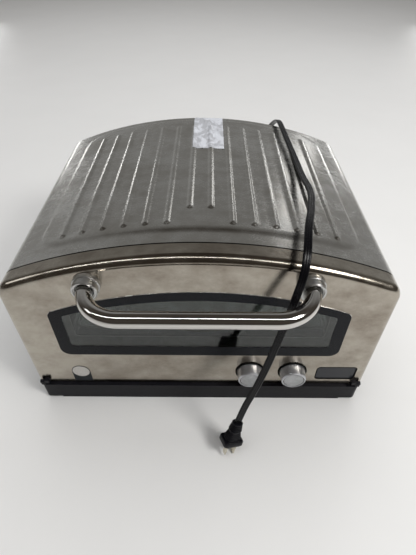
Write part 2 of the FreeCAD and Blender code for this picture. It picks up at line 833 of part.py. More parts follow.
def make_handle():
    bar_y = S.face_y - S.bar_out
    end_y = S.face_y - 1.0
    route = [
        (-S.boss_x, end_y, S.bar_z),
        (-S.boss_x, bar_y, S.bar_z),
        (S.boss_x, bar_y, S.bar_z),
        (S.boss_x, end_y, S.bar_z),
    ]
    solid = tube(route, S.bar_radius, S.bar_bend)[0]
    hollow = tube(route, S.bar_radius - S.bar_wall, S.bar_bend)[0]
    keep("handle_bar", feature("handle_bar", solid.cut(hollow)))
    for side, sign in (("left", -1), ("right", 1)):
        x = sign * S.boss_x
        bore = S.bar_radius + 0.3
        front = S.face_y - S.boss_depth
        boss = cylinder_y(S.boss_radius, x, front, S.bar_z, S.boss_depth - 0.02)
        boss = boss.makeChamfer(0.8, edges_at(boss, front, 0))
        boss = boss.cut(cylinder_y(bore, x, front - 3, S.bar_z, 16))
        keep(f"handle_boss_{side}", feature(f"handle_boss_{side}", boss))
        nose = S.face_y - S.collar_reach
        collar = cylinder_y(S.collar_radius, x, nose, S.bar_z, front - nose - 0.02)
        collar = collar.makeChamfer(1.0, edges_at(collar, nose, 0))
        recess = cylinder_y(S.collar_radius - 2.4, x, nose - 1, S.bar_z, 3.5)
        hole = cylinder_y(bore + 1.3, x, nose - 1, S.bar_z, 20)
        keep(f"handle_collar_{side}", feature(f"handle_collar_{side}", collar.cut([recess, hole])))
    screws, inserts = [], []
    for k, sign in enumerate((-1, 1)):
        x = sign * S.boss_x
        shank = cylinder_y(2.4, x, S.face_y - 11, S.bar_z, 12.02)
        head = cylinder_y(5, x, S.face_y + 1.02, S.bar_z, 3)
        screws.append(feature(f"handle_screw_{k}", shank.fuse(head)))
        plug = cylinder_y(S.bar_radius - S.bar_wall - 0.02, x, end_y - 7, S.bar_z, 7)
        inserts.append(feature(f"insert_{k}", plug.cut(
            cylinder_y(2.42, x, end_y - 8, S.bar_z, 10))))
    keep("handle_screws", group("handle_screws", screws))
    keep("handle_inserts", group("handle_inserts", inserts))


# ---------------------------------------------------------------- controls
def make_controls():
    lens = body_of("display_lens")
    sketch = new_sketch(lens, "lens_outline", "XY_Plane")
    rectangle(sketch, "display_wide - 2 * lens_gap", "1.6", "0", "0")
    pad(lens, sketch, "display_tall - 2 * lens_gap")
    doc.recompute()
    across = [
        f"Edge{k}"
        for k, edge in enumerate(lens.Shape.Edges, start=1)
        if edge.BoundBox.YLength > 1 and edge.BoundBox.XLength < 0.01 and edge.BoundBox.ZLength < 0.01
    ]
    fillet(lens, across, "display_corner - lens_gap")
    place(
        lens,
        (
            "display_x - display_wide / 2 + lens_gap",
            "face_y + 0.9",
            "display_z - display_tall / 2 + lens_gap",
        ),
    )
    keep("display_lens", lens)
    module = plate(
        "display_module",
        "display_wide - 3",
        "15.8",
        "display_tall - 3",
        (
            "display_x - display_wide / 2 + 1.5",
            "face_y + 2.6",
            "display_z - display_tall / 2 + 1.5",
        ),
    )
    keep("display_module", module)
    board = plate("control_board", "180", "1.6", "36", ("40", "face_y + 18.6", "44"))
    keep("control_board", board)

    for side, alias in (("left", "knob_left_x"), ("right", "knob_right_x")):
        at = (alias, "face_y", "knob_z")
        back, front = 3.0, -S.knob_reach
        profile = [
            (S.shaft_radius, back),
            (S.knob_radius, back),
            (S.knob_radius, -1.0),
            (S.knob_front_radius, front + 1.4),
            (S.knob_front_radius - 1.4, front),
            (S.cap_radius + 1.1, front),
            (S.cap_radius + 1.0, front + 1.6),
            (S.shaft_radius, front + 1.6),
        ]
        keep(f"knob_{side}", turned(f"knob_{side}", profile, at))
        cap_at = (alias, "face_y - knob_reach + 0.38", "knob_z")
        keep(f"knob_cap_{side}", rod(f"knob_cap_{side}", "cap_radius", "1.2", cap_at, "y"))
        shaft = rod(
            f"knob_shaft_{side}",
            "shaft_radius - 0.02",
            "knob_reach + 14.12",
            (alias, "face_y - knob_reach + 1.6", "knob_z"),
            "y",
        )
        keep(f"knob_shaft_{side}", shaft)
        bore = S.shaft_radius + 0.03
        can = [(bore, 8.0), (4.5, 8.0), (4.5, 10.0), (8.0, 10.0), (8.0, 18.5)]
        can += [(5.0, 18.5), (5.0, 15.9), (bore, 15.9)]
        keep(f"encoder_{side}", turned(f"encoder_{side}", can, at))
        plunger = rod(f"push_plunger_{side}", "2.4", "0.7", (alias, "face_y + 16.1", "knob_z"), "y")
        keep(f"push_plunger_{side}", plunger)


# ---------------------------------------------------------------- cord and plug
CORD_ROUTE = [
    (60, 243, 60),
    (60.5, 272, 62),
    (63, 297, 76),
    (70, 311, 102),
    (82, 313, 136),
    (100, 301, 175),
    (116, 280, 212),
    (126, 253.5, 244),
    (131, 221, 265.5),
    (132.5, 182, 268),
    (136, 130, 265.5),
    (139.5, 62, 265),
    (137.5, 6, 272),
    (138.5, -46, 281.5),
    (128.5, -94, 286),
    (118, -132, 288),
    (113.5, -161, 282.5),
    (110, -180, 265),
    (104, -188, 241),
    (97, -196, 212),
    (89, -203.5, 180),
    (78.5, -212.5, 139),
    (66.5, -221, 103),
    (56, -227.5, 76.5),
    (50, -232, 50.3),
]


def rounded_ring(half_x, half_y, z):
    return Part.Wire(Part.Ellipse(Vector(0, 0, z), half_x, half_y).toShape())


def leaned(shape):
    """Turn a plug piece about its own axis, then lean it in line with the cord's end."""
    shape = shape.copy()
    shape.rotate(Vector(), Vector(0, 0, 1), S.plug_turn)
    axis = Vector(0.24, 0.3, 0.923).normalize()
    tilt = Rotation(Vector(0, 0, 1), axis)
    shape.rotate(Vector(), tilt.Axis, math.degrees(tilt.Angle))
    return shape


def edges_low(solid):
    return [e for e in solid.Edges if e.BoundBox.ZMax < solid.BoundBox.ZMin + 0.01]


def make_cord():
    solid, path, radii = tube(CORD_ROUTE, S.cord_radius)
    whole = math.pi * S.cord_radius**2 * path.Length
    print("cord length", round(path.Length, 1), "volume ratio", round(solid.Volume / whole, 4))
    print("cord radii", [round(r) for r in radii])
    keep("power_cord", feature("power_cord", solid))

    start = S.back_y - 1.4
    collar = cylinder_y(11, S.gland_x, start, S.gland_z, 3)
    neck = Part.makeCone(8, 5.6, 22.6, Vector(S.gland_x, start + 3, S.gland_z), Vector(0, 1, 0))
    stub = cylinder_y(7.8, S.gland_x, start - 5, S.gland_z, 5)
    tip = Part.makeCylinder(5.6, 3, Vector(S.gland_x, 240, S.gland_z), Vector(0, 1, 0))
    gland = collar.fuse([neck, stub, tip]).removeSplitter()
    keep("cord_gland", feature("cord_gland", gland))

    wide, deep, thick = S.flange_wide, S.flange_deep, S.flange_thick
    flange = Part.makeBox(wide, deep, thick, Vector(-wide / 2, -deep / 2, S.blade_length))
    flange = flange.makeFillet(3.5, [e for e in flange.Edges if e.BoundBox.ZLength > 1])
    low, top = S.blade_length + thick - 0.1, S.plug_length
    rings = [rounded_ring(11.8, 9.2, low), rounded_ring(9.0, 7.8, low + 13)]
    rings.append(rounded_ring(7.4, 6.6, top))
    plug = flange.fuse(Part.makeLoft(rings, True)).removeSplitter()
    blades = []
    blade_thick, blade_wide, blade_high, pitch = 1.5, 6.4, 16.5, 12.7
    for x in (-pitch / 2, pitch / 2):
        corner = Vector(x - blade_thick / 2, -blade_wide, S.blade_length - 0.02 - blade_high)
        blades.append(Part.makeBox(blade_thick, blade_wide, blade_high, corner))
    pin_radius, pin_back = 2.4, 6.6
    pin = Part.makeCylinder(pin_radius, S.blade_length - 0.02, Vector(0, pin_back, 0))
    pin = pin.makeChamfer(0.8, edges_low(pin))
    drop = min(piece.BoundBox.ZMin for piece in [leaned(pin)] + [leaned(b) for b in blades])
    neck = leaned(Part.Vertex(0, 0, top)).Point
    end = Vector(*CORD_ROUTE[-1])
    shift = end - neck
    print("plug tip height", round(drop + shift.z, 2))

    def stood(piece):
        piece = leaned(piece)
        piece.translate(shift)
        return piece

    keep("plug_body", feature("plug_body", stood(plug)))
    pieces = [feature(f"blade_{k}", stood(blade)) for k, blade in enumerate(blades)]
    keep("plug_blades", group("plug_blades", pieces))
    keep("plug_ground_pin", feature("plug_ground_pin", stood(pin)))


make_base()
make_top_cover()
make_rear_panel()
make_front_frame()
make_cavity()
make_electronics()
make_hinges()
make_door()
make_handle()
make_controls()
make_cord()
doc.recompute()

faults = [o.Name for o in doc.Objects if {"Invalid", "Error"} & set(o.State)]
for name, obj in NODES.items():
    if obj.Shape.isNull() or not obj.Shape.isValid() or not obj.Shape.Solids:
        faults.append(name)
if faults:
    raise RuntimeError(f"unsound objects: {faults}")
for name, obj in NODES.items():
    obj.Shape.exportStep(f"parts/{name}.step")
print(len(NODES), "nodes written")
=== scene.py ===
import json
import math

import bmesh
import bpy
from mathutils import Matrix, Vector, noise


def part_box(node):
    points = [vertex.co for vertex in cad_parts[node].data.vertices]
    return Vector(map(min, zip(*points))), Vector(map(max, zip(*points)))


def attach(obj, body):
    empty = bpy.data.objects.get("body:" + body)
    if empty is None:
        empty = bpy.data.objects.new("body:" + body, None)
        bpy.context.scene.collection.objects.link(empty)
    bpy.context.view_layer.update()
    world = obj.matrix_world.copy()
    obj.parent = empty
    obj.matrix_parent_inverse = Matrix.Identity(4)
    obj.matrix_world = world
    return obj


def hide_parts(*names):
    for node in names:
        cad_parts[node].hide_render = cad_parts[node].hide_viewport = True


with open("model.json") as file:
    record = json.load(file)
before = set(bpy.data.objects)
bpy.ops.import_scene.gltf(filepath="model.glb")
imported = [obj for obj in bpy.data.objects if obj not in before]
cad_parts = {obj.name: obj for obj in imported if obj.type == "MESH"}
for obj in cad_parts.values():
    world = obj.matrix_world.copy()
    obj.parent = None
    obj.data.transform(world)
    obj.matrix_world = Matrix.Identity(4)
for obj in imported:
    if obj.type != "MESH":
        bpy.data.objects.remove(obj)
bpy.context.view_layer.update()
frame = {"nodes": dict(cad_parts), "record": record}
NODES = frame["nodes"]

MM = 0.001


def middle(node):
    """The centre of a CAD node's box."""
    low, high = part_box(node)
    return (low + high) / 2


# ---------------------------------------------------------------- camera
CAMERA_AT = (0.0104, -0.4847, 0.5447)
CAMERA_DOWN = 0.753
CAMERA_ROLL = 0.006
CAMERA_TURN = 0.001
CAMERA_LENS = 26.05


def make_camera():
    """Stand where the photographer stood: turned, tilted down and rolled a little."""
    data = bpy.data.cameras.new("photo_camera")
    data.lens = CAMERA_LENS
    data.sensor_width = 36
    camera = bpy.data.objects.new("photo_camera", data)
    bpy.context.scene.collection.objects.link(camera)
    turn = Matrix.Rotation(CAMERA_TURN, 4, "Z")
    tilt = Matrix.Rotation(math.pi / 2 - CAMERA_DOWN, 4, "X")
    roll = Matrix.Rotation(CAMERA_ROLL, 4, "Z")
    camera.matrix_world = Matrix.Translation(CAMERA_AT) @ turn @ tilt @ roll
    bpy.context.scene.camera = camera


# ---------------------------------------------------------------- mesh helpers
def skin_rings(bm, rings):
    """Quads between rings of equally many points, with flat ends."""
    rows = [[bm.verts.new(point) for point in ring] for ring in rings]
    for low, high in zip(rows, rows[1:]):
        for k in range(len(low)):
            n = (k + 1) % len(low)
            bm.faces.new((low[k], low[n], high[n], high[k]))
    bm.faces.new(rows[0][::-1])
    bm.faces.new(rows[-1])


def skin_grid(bm, rows):
    """Quads between rows of equally many points, open at the edges."""
    grid = [[bm.verts.new(point) for point in row] for row in rows]
    for first, second in zip(grid, grid[1:]):
        for k in range(len(first) - 1):
            bm.faces.new((first[k], first[k + 1], second[k + 1], second[k]))


def mesh_piece(name, bm, sharp_degrees):
    """An object of the mesh, shaded smooth except over edges sharper than the angle."""
    bmesh.ops.recalc_face_normals(bm, faces=bm.faces)
    mesh = bpy.data.meshes.new(name)
    bm.to_mesh(mesh)
    bm.free()
    mesh.polygons.foreach_set("use_smooth", [True] * len(mesh.polygons))
    mesh.set_sharp_from_angle(angle=math.radians(sharp_degrees))
    piece = bpy.data.objects.new(name, mesh)
    bpy.context.scene.collection.objects.link(piece)
    return piece


def finish_piece(piece, body, material):
    """Give a piece its material and its body."""
    piece.data.materials.append(material)
    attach(piece, body)


def squared_ellipse(half_x, half_y, power, count=48):
    """Points of an ellipse whose corners fill out as the power grows."""
    points = []
    for k in range(count):
        angle = 2 * math.pi * k / count
        c, s = math.cos(angle), math.sin(angle)
        x = half_x * math.copysign(abs(c) ** (2 / power), c)
        y = half_y * math.copysign(abs(s) ** (2 / power), s)
        points.append((x, y))
    return points


def stacked(sections, to_world):
    """Rings from sections of (height, half_x, half_y, power), carried into place."""
    rings = []
    for height, half_x, half_y, power in sections:
        ring = squared_ellipse(half_x, half_y, power)
        rings.append([to_world @ Vector((x * MM, y * MM, height * MM)) for x, y in ring])
    return rings


# ---------------------------------------------------------------- material helpers
# Where Blender's Mix node keeps its colour sockets among those of its other data types.
MIX_FACTOR = 0
MIX_A = 6
MIX_B = 7
MIX_RESULT = 2


def new_material(name, colour, roughness, metallic=0.0, **sockets):
    material = bpy.data.materials.new(name)
    material.use_nodes = True
    shader = material.node_tree.nodes["Principled BSDF"]
    shader.inputs["Base Color"].default_value = (*colour, 1)
    shader.inputs["Roughness"].default_value = roughness
    shader.inputs["Metallic"].default_value = metallic
    for socket, value in sockets.items():
        shader.inputs[socket.replace("_", " ")].default_value = value
    return material


def add(material, kind, inputs=None, **settings):
    """A node whose inputs are set to numbers or linked to other nodes' outputs."""
    node = material.node_tree.nodes.new("ShaderNode" + kind)
    for name, value in settings.items():
        setattr(node, name, value)
    for key, value in (inputs or {}).items():
        if isinstance(value, bpy.types.NodeSocket):
            material.node_tree.links.new(value, node.inputs[key])
        else:
            node.inputs[key].default_value = value
    return node


def shade(material, socket, output):
    """Drive one of the shader's sockets from another node's output."""
    shader = material.node_tree.nodes["Principled BSDF"]
    material.node_tree.links.new(output, shader.inputs[socket])


def place_of(material, scale=(1, 1, 1), shift=(0, 0, 0)):
    """The piece's own coordinates in metres, less the shift and then scaled."""
    where = add(material, "TexCoord").outputs["Object"]
    moved = add(material, "VectorMath", {0: where, 1: [-v for v in shift]}, operation="ADD")
    scaled = add(material, "VectorMath", {0: moved.outputs[0], 1: scale}, operation="MULTIPLY")
    return scaled.outputs[0]


def grain(material, where, scale=1.0, detail=2.0, rough=0.5):
    inputs = {"Vector": where, "Scale": scale, "Detail": detail, "Roughness": rough}
    return add(material, "TexNoise", inputs).outputs["Fac"]


def spread(material, value, low, high, start=0.3, end=0.7):
    """Stretch a noise value from start..end to low..high."""
    inputs = {"Value": value, "From Min": start, "From Max": end, "To Min": low, "To Max": high}
    return add(material, "MapRange", inputs).outputs["Result"]


def blend_colours(tree, value, dark, light):
    """Mix from dark at 0 to light at 1; each is a colour or another node's output."""
    mix = tree.nodes.new("ShaderNodeMix")
    mix.data_type = "RGBA"
    tree.links.new(value, mix.inputs[MIX_FACTOR])
    for place, colour in ((MIX_A, dark), (MIX_B, light)):
        if isinstance(colour, bpy.types.NodeSocket):
            tree.links.new(colour, mix.inputs[place])
        else:
            mix.inputs[place].default_value = (*colour, 1)
    return mix.outputs[MIX_RESULT]


def tint(material, value, dark, light):
    """A colour for one of the material's sockets, from dark to light as the value rises."""
    return blend_colours(material.node_tree, value, dark, light)


def emboss(material, height, distance, strength):
    inputs = {"Height": height, "Distance": distance, "Strength": strength}
    return add(material, "Bump", inputs).outputs["Normal"]


# ---------------------------------------------------------------- materials
BRUSHED = (30, 2600, 2600)


def steel(name, dark, light, rough, spots=9.0):
    """Brushed stainless: grain along X, cloudy smudges and a few finger marks."""
    material = new_material(name, light, rough, 1.0)
    clouds = grain(material, place_of(material, (1, 1.6, 1.6)), spots, 4.0, 0.6)
    marks = grain(material, place_of(material, (1, 1.3, 1.3), (0.3, 0.1, 0.2)), spots * 5, 5.0, 0.7)
    lines = grain(material, place_of(material, BRUSHED), 1.0, 3.0, 0.7)
    soil = add(material, "Math", {0: clouds, 1: marks}, operation="ADD").outputs[0]
    soil = add(material, "Math", {0: soil, 1: 0.5}, operation="MULTIPLY").outputs[0]
    shown = spread(material, soil, 0, 1, 0.38, 0.6)
    shade(material, "Base Color", tint(material, shown, dark, light))
    wear = spread(material, soil, rough - 0.02, rough + 0.05, 0.4, 0.6)
    line_wear = spread(material, lines, -0.03, 0.03, 0.3, 0.7)
    total = add(material, "Math", {0: wear, 1: line_wear}, operation="ADD").outputs[0]
    shade(material, "Roughness", total)
    shade(material, "Normal", emboss(material, lines, 0.000012, 0.35))
    return material


def textured(name, colour, rough, size, depth, metallic=0.0, vary=0.25, **sockets):
    """One colour with a moulded or sprayed grain of a given size in metres."""
    material = new_material(name, colour, rough, metallic, **sockets)
    fine = grain(material, place_of(material), 1 / size, 3.0, 0.6)
    broad = grain(material, place_of(material), 0.1 / size, 3.0, 0.6)
    darker = [c * (1 - vary) for c in colour]
    lighter = [min(1, c * (1 + vary)) for c in colour]
    shade(material, "Base Color", tint(material, spread(material, broad, 0, 1), darker, lighter))
    shade(material, "Roughness", spread(material, fine, rough - 0.06, rough + 0.06))
    shade(material, "Normal", emboss(material, fine, depth, 0.6))
    return material


RING_PITCH = 0.7 * MM


def turned_metal(name, colour, rough, centre):
    """Metal faced on a lathe about a Y axis: fine rings around the axis."""
    material = new_material(name, colour, rough, 1.0)
    where = place_of(material, (1, 0, 1), centre)
    length = add(material, "VectorMath", {0: where}, operation="LENGTH").outputs["Value"]
    turns = add(material, "Math", {0: length, 1: 1 / RING_PITCH}, operation="MULTIPLY").outputs[0]
    along = add(material, "CombineXYZ", {"X": turns}).outputs[0]
    rings = grain(material, along, 1.0, 3.0, 0.6)
    cloud = grain(material, place_of(material), 60, 3.0, 0.6)
    darker = [c * 0.82 for c in colour]
    shade(material, "Base Color", tint(material, spread(material, cloud, 0, 1), darker, colour))
    shade(material, "Roughness", spread(material, rings, rough - 0.08, rough + 0.1))
    shade(material, "Normal", emboss(material, rings, 0.00002, 0.6))
    return material


def chrome(name, colour, rough):
    """Polished plate with hairline wipe marks and slightly dull patches."""
    material = new_material(name, colour, rough, 1.0)
    wipe = grain(material, place_of(material, (60, 900, 900)), 1.0, 4.0, 0.7)
    dull = grain(material, place_of(material), 45, 3.0, 0.6)
    shade(material, "Roughness", spread(material, dull, rough * 0.6, rough * 1.7))
    darker = [c * 0.9 for c in colour]
    shade(material, "Base Color", tint(material, spread(material, wipe, 0, 1), darker, colour))
    shade(material, "Normal", emboss(material, wipe, 0.00001, 0.3))
    return material


def aluminised(name, colour, rough):
    """Coated sheet with a crystal spangle."""
    material = new_material(name, colour, rough, 1.0)
    cells = add(material, "TexVoronoi", {"Vector": place_of(material), "Scale": 160.0})
    tone = add(material, "SeparateColor", {"Color": cells.outputs["Color"]}).outputs[0]
    darker = [c * 0.8 for c in colour]
    shade(material, "Base Color", tint(material, tone, darker, colour))
    shade(material, "Roughness", spread(material, tone, rough - 0.06, rough + 0.08, 0, 1))
    fine = grain(material, place_of(material), 700, 2.0)
    shade(material, "Normal", emboss(material, fine, 0.00003, 0.4))
    return material


def glass(name, colour, rough):
    """Clear glass in its own tint with a faint smeared film."""
    material = new_material(name, colour, rough, 0.0, Transmission_Weight=1.0, IOR=1.5)
    smear = grain(material, place_of(material), 25, 4.0, 0.6)
    shade(material, "Roughness", spread(material, smear, rough, rough + 0.03, 0.45, 0.75))
    return material


def stoneware(name, colour, rough):
    """Unglazed firebrick: pores, pale grog specks and toasted patches."""
    material = new_material(name, colour, rough)
    patches = grain(material, place_of(material), 16, 4.0, 0.6)
    toasted = [c * f for c, f in zip(colour, (0.62, 0.52, 0.42))]
    base = tint(material, spread(material, patches, 0, 1, 0.56, 0.4), toasted, colour)
    specks = add(material, "TexVoronoi", {"Vector": place_of(material), "Scale": 420.0})
    dots = spread(material, specks.outputs["Distance"], 1, 0, 0.1, 0.32)
    shade(material, "Base Color", tint(material, dots, base, (0.42, 0.34, 0.25)))
    pores = grain(material, place_of(material), 900, 3.0, 0.7)
    shade(material, "Normal", emboss(material, pores, 0.0004, 0.8))
    return material


def wool(name, colour):
    """Matted mineral fibre in soft tufts."""
    material = new_material(name, colour, 0.95)
    tufts = grain(material, place_of(material, (1, 1, 1.6)), 130, 6.0, 0.75)
    darker = [c * 0.7 for c in colour]
    shade(material, "Base Color", tint(material, spread(material, tufts, 0, 1), darker, colour))
    shade(material, "Normal", emboss(material, tufts, 0.002, 1.0))
    return material


def film(name):
    """Thin bluish protective film, half let go of the steel in wandering wrinkles."""
    material = new_material(name, (0.50, 0.54, 0.60), 0.32)
    where = place_of(material, (1, 0.55, 1))
    inputs = {"Vector": where, "Scale": 75.0, "Detail": 3.0, "Distortion": 1.2}
    folds = add(material, "TexNoise", inputs).outputs["Fac"]
    lifted = spread(material, folds, 0, 1, 0.44, 0.56)
    shade(material, "Base Color", tint(material, lifted, (0.42, 0.43, 0.46), (0.62, 0.64, 0.69)))
    shade(material, "Normal", emboss(material, folds, 0.0009, 0.7))
    return material


def board(name, colour):
    """Solder mask over copper tracks, seen as slightly lighter straight bands."""
    material = new_material(name, colour, 0.4)
    where = place_of(material, (260, 260, 260))
    tracks = add(material, "TexBrick", {"Vector": where, "Scale": 1.0, "Mortar Size": 0.12})
    lighter = [min(1, c * 1.7 + 0.02) for c in colour]
    shade(material, "Base Color", tint(material, tracks.outputs["Fac"], colour, lighter))
    shade(material, "Normal", emboss(material, tracks.outputs["Fac"], 0.00005, 0.5))
    return material


def make_materials():
    """A finish for each material slot, and for the trim, boss and knob surfaces apart."""
    boss = middle("handle_boss_left")
    knob = middle("knob_left")
    return {
        "top_steel": steel("top_steel", (0.41, 0.395, 0.365), (0.56, 0.555, 0.535), 0.24),
        "front_steel": steel("front_steel", (0.27, 0.235, 0.195), (0.47, 0.435, 0.375), 0.18, spots=6),
        "black_paint": textured(
            "black_paint", (0.007, 0.007, 0.010), 0.42, 0.0006, 0.00006, Specular_IOR_Level=0.16
        ),
        "foot_rubber": textured("foot_rubber", (0.02, 0.02, 0.02), 0.85, 0.0008, 0.0001),
        "inner_steel": aluminised("inner_steel", (0.50, 0.50, 0.49), 0.34),
        "element_tube": textured("element_tube", (0.10, 0.095, 0.09), 0.5, 0.001, 0.00006, 0.8),
        "fibre": wool("fibre", (0.80, 0.78, 0.72)),
        "cordierite": stoneware("cordierite", (0.66, 0.57, 0.44), 0.9),
        "rack_wire": chrome("rack_wire", (0.68, 0.68, 0.68), 0.16),
        "plated_steel": textured("plated_steel", (0.60, 0.60, 0.59), 0.32, 0.0008, 0.00003, 1.0, 0.15),
        "lamp_glass": glass("lamp_glass", (0.95, 0.95, 0.92), 0.08),
        "white_ceramic": textured("white_ceramic", (0.80, 0.79, 0.75), 0.45, 0.001, 0.00005, vary=0.06),
        "board_green": board("board_green", (0.03, 0.16, 0.07)),
        "dark_plastic": textured(
            "dark_plastic", (0.014, 0.014, 0.016), 0.5, 0.0009, 0.00008, Specular_IOR_Level=0.3
        ),
        "black_bezel": textured(
            "black_bezel", (0.006, 0.007, 0.010), 0.30, 0.0009, 0.00001, vary=0.1,
            Specular_IOR_Level=0.14,
        ),
        "window_glass": glass("window_glass", (0.55, 0.60, 0.58), 0.0),
        "seal_silicone": textured("seal_silicone", (0.17, 0.17, 0.17), 0.7, 0.001, 0.00008),
        "badge_white": textured("badge_white", (0.62, 0.60, 0.57), 0.3, 0.002, 0.00002, vary=0.08),
        "edge_steel": chrome("edge_steel", (0.72, 0.70, 0.66), 0.18),
        "handle_chrome": chrome("handle_chrome", (0.66, 0.645, 0.62), 0.07),
        "boss_left": turned_metal("boss_left", (0.60, 0.60, 0.59), 0.3, (boss.x, 0, boss.z)),
        "boss_right": turned_metal("boss_right", (0.60, 0.60, 0.59), 0.3, (-boss.x, 0, boss.z)),
        "knob_left": turned_metal("knob_left", (0.70, 0.71, 0.74), 0.42, (knob.x, 0, knob.z)),
        "knob_right": turned_metal(
            "knob_right", (0.70, 0.71, 0.74), 0.42, (middle("knob_right").x, 0, knob.z)
        ),
        "knob_cap": textured("knob_cap", (0.46, 0.47, 0.48), 0.5, 0.0007, 0.00012, 1.0, 0.15),
        "label_print": textured(
            "label_print", (0.016, 0.020, 0.024), 0.45, 0.001, 0.00002, Specular_IOR_Level=0.2
        ),
        # Near-black finish of the beads that paint shade in the display recess, in the knob grooves and
        # round the knob holes.
        "shade_black": textured("shade_black", (0.003, 0.003, 0.003), 0.6, 0.001, 0.00002, Specular_IOR_Level=0.1),
        "film": film("film"),
        "display_smoke": textured(
            "display_smoke", (0.026, 0.028, 0.034), 0.22, 0.02, 0.000002, vary=0.05,
            Specular_IOR_Level=0.3,
        ),
        "cord_black": textured(
            "cord_black", (0.003, 0.003, 0.004), 0.26, 0.0012, 0.00003, Specular_IOR_Level=0.2
        ),
        "plug_black": textured(
            "plug_black", (0.004, 0.004, 0.006), 0.38, 0.0010, 0.00008, Specular_IOR_Level=0.22
        ),
        "brass_plate": textured("brass_plate", (0.70, 0.66, 0.55), 0.25, 0.0015, 0.00002, 1.0, 0.1),
    }


def finish_nodes(materials):
    """Give every CAD node the finish of its slot; turned parts have one centred on each."""
    for row in frame["record"]["subparts"]:
        node, slot = row["node"], row["material_slot"]
        side = "left" if node.endswith("left") else "right"
        if slot == "boss_aluminium":
            slot = "boss_" + side
        elif node.startswith("knob_cap"):
            slot = "knob_cap"
        elif slot == "knob_aluminium":
            slot = "knob_" + side
        mesh = NODES[node].data
        mesh.materials.clear()
        mesh.materials.append(materials[slot])


# ---------------------------------------------------------------- cord and plug
CORD_ROUTE = [
    (0.06, 0.243, 0.06),
    (0.0605, 0.272, 0.062),
    (0.063, 0.297, 0.076),
    (0.07, 0.311, 0.102),
    (0.082, 0.313, 0.136),
    (0.1, 0.301, 0.175),
    (0.116, 0.28, 0.212),
    (0.126, 0.2535, 0.244),
    (0.131, 0.221, 0.2655),
    (0.1325, 0.182, 0.268),
    (0.136, 0.13, 0.2655),
    (0.1395, 0.062, 0.265),
    (0.1375, 0.006, 0.272),
    (0.1385, -0.046, 0.2815),
    (0.1285, -0.094, 0.286),
    (0.118, -0.132, 0.288),
    (0.1135, -0.161, 0.2825),
    (0.110, -0.180, 0.265),
    (0.104, -0.188, 0.241),
    (0.097, -0.196, 0.212),
    (0.089, -0.2035, 0.180),
    (0.0785, -0.2125, 0.139),
    (0.0665, -0.221, 0.103),
    (0.056, -0.2275, 0.0765),
    (0.050, -0.232, 0.0503),
]
CORD_WIDE = 0.0092
CORE_RADIUS = 0.00205
PLUG_LEAN = (0.24, 0.3, 0.923)
PLUG_TURN = math.radians(21)
PLUG_NECK = 51.3 * MM
GRIP_GROOVES = ((0.4, 0.75, 0.65), (1.2, 0.85, 0.75), (1.6, 0.2, 0.1))
NECK_GROOVES = ((0.3, 1.1, 1.1), (1.1, 1.1, 1.1), (1.4, 0.15, 0.15))
GLAND_GROOVES = ((0.3, 1.3, 1.3), (1.2, 1.35, 1.35), (1.5, 0.15, 0.15))


def cord_line():
    """The cord's centreline, read from a NURBS spline through its route."""
    curve = bpy.data.curves.new("cord_line", "CURVE")
    curve.dimensions = "3D"
    spline = curve.splines.new("NURBS")
    spline.points.add(len(CORD_ROUTE) - 1)
    for point, place in zip(spline.points, CORD_ROUTE):
        point.co = (*place, 1)
    spline.order_u = 3
    spline.use_endpoint_u = True
    spline.resolution_u = 12
    holder = bpy.data.objects.new("cord_line", curve)
    bpy.context.scene.collection.objects.link(holder)
    bpy.context.view_layer.update()
    graph = bpy.context.evaluated_depsgraph_get()
    line = bpy.data.meshes.new_from_object(holder.evaluated_get(graph))
    points = [v.co.copy() for v in line.vertices]
    bpy.data.objects.remove(holder)
    return points


def cord_section(count=44):
    """Outline of three cores moulded side by side, as (across, up) points."""
    spacing = CORD_WIDE / 2 - CORE_RADIUS
    points = []
    for k in range(count):
        angle = 2 * math.pi * k / count
        across = CORD_WIDE / 2 * math.cos(angle)
        heights = []
        for core in (-spacing, 0, spacing):
            left = CORE_RADIUS**2 - (across - core) ** 2
            heights.append(math.sqrt(max(left, 0)))
        points.append((across, math.copysign(max(heights), math.sin(angle))))
    return points


def make_cord(materials):
    """The flat cord, laid with its width across the casing all the way round it."""
    points = cord_line()
    hub = Vector((0, 0.02, 0.12))
    section = cord_section()
    rings = []
    for k, here in enumerate(points):
        ahead = (points[min(k + 1, len(points) - 1)] - points[max(k - 1, 0)]).normalized()
        outward = Vector((0, here.y - hub.y, here.z - hub.z)).normalized()
        across = ahead.cross(outward).normalized()
        up = across.cross(ahead)
        rings.append([here + across * x + up * z for x, z in section])
    bm = bmesh.new()
    skin_rings(bm, rings)
    cord = mesh_piece("mains_cord", bm, 60)
    finish_piece(cord, "root", materials["cord_black"])
    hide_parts("power_cord")
    length = sum((b - a).length for a, b in zip(points, points[1:]))
    return cord, points, length


def ribs(count, start, pitch, half, taper, aspect, power, grooves):
    """Sections of tapering ribs, each with its grooves as (height above, cut in x, cut in y)."""
    sections = []
    for k in range(count):
        low = start + pitch * k
        slim = half - taper * k
        sections.append((low, slim, slim * aspect, power))
        for above, cut_x, cut_y in grooves:
            sections.append((low + above, slim - cut_x, slim * aspect - cut_y, power))
    return sections


def plug_place():
    """Carry a plug piece from its own axis to the cord's end."""
    lean = Vector((0, 0, 1)).rotation_difference(Vector(PLUG_LEAN).normalized())
    turn = lean.to_matrix().to_4x4() @ Matrix.Rotation(PLUG_TURN, 4, "Z")
    shift = Vector(CORD_ROUTE[-1]) - turn @ Vector((0, 0, PLUG_NECK))
    return Matrix.Translation(shift) @ turn


